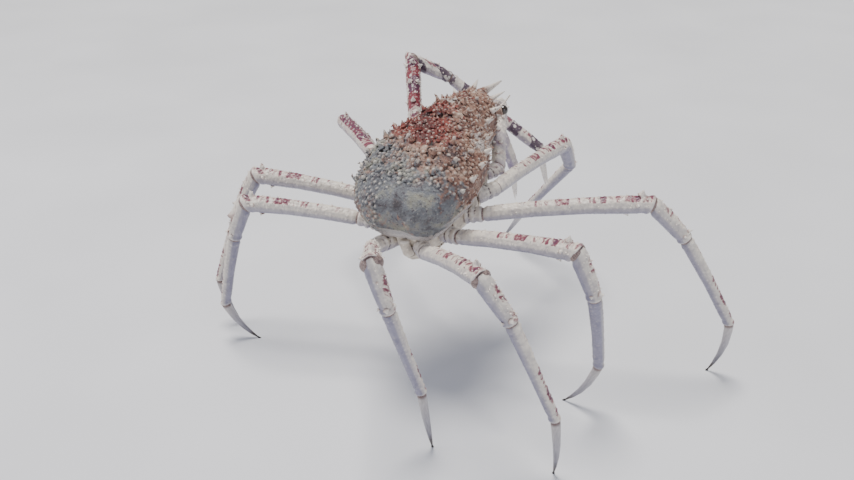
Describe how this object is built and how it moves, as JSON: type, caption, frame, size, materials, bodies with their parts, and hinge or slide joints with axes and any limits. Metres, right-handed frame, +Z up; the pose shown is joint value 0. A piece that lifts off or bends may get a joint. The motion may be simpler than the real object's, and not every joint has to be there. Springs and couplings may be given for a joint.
{
  "type": "japanese spider crab",
  "caption": "Life-size still model of a japanese spider crab, standing on its long jointed legs with its claws hung before its face",
  "frame": {"origin": "On the floor, under the middle of the whole crab's box", "axes": "+Z up; the crab faces -Y and its left side is +X"},
  "size_m": [0.7074, 0.6386, 0.3689],
  "materials": {
    "back_shell": "rough, tuberculate",
    "leg_shell": "satin, pale with purple-red blotches",
    "claw_shell": "satin, banded",
    "toe_horn": "satin horn",
    "cornea": "glossy",
    "under_shell": "matte pale shell"
  },
  "bodies": {
    "root": {"abdomen": "under_shell", "antenna_left": "leg_shell", "antenna_right": "leg_shell", "carapace": "back_shell", "claw_left_carpus": "claw_shell", "claw_left_finger": "claw_shell", "claw_left_ischium": "claw_shell", "claw_left_merus": "claw_shell", "claw_left_palm": "claw_shell", "claw_right_carpus": "claw_shell", "claw_right_finger": "claw_shell", "claw_right_ischium": "claw_shell", "claw_right_merus": "claw_shell", "claw_right_palm": "claw_shell", "eye_left": "cornea", "eye_right": "cornea", "leg_left_1_carpus": "leg_shell", "leg_left_1_dactyl": "toe_horn", "leg_left_1_ischium": "leg_shell", "leg_left_1_merus": "leg_shell", "leg_left_1_propodus": "leg_shell", "leg_left_2_carpus": "leg_shell", "leg_left_2_dactyl": "toe_horn", "leg_left_2_ischium": "leg_shell", "leg_left_2_merus": "leg_shell", "leg_left_2_propodus": "leg_shell", "leg_left_3_carpus": "leg_shell", "leg_left_3_dactyl": "toe_horn", "leg_left_3_ischium": "leg_shell", "leg_left_3_merus": "leg_shell", "leg_left_3_propodus": "leg_shell", "leg_left_4_carpus": "leg_shell", "leg_left_4_dactyl": "toe_horn", "leg_left_4_ischium": "leg_shell", "leg_left_4_merus": "leg_shell", "leg_left_4_propodus": "leg_shell", "leg_right_1_carpus": "leg_shell", "leg_right_1_dactyl": "toe_horn", "leg_right_1_ischium": "leg_shell", "leg_right_1_merus": "leg_shell", "leg_right_1_propodus": "leg_shell", "leg_right_2_carpus": "leg_shell", "leg_right_2_dactyl": "toe_horn", "leg_right_2_ischium": "leg_shell", "leg_right_2_merus": "leg_shell", "leg_right_2_propodus": "leg_shell", "leg_right_3_carpus": "leg_shell", "leg_right_3_dactyl": "toe_horn", "leg_right_3_ischium": "leg_shell", "leg_right_3_merus": "leg_shell", "leg_right_3_propodus": "leg_shell", "leg_right_4_carpus": "leg_shell", "leg_right_4_dactyl": "toe_horn", "leg_right_4_ischium": "leg_shell", "leg_right_4_merus": "leg_shell", "leg_right_4_propodus": "leg_shell", "mouthpart_left": "under_shell", "mouthpart_right": "under_shell", "sternum": "under_shell"}
  },
  "joints": []
}
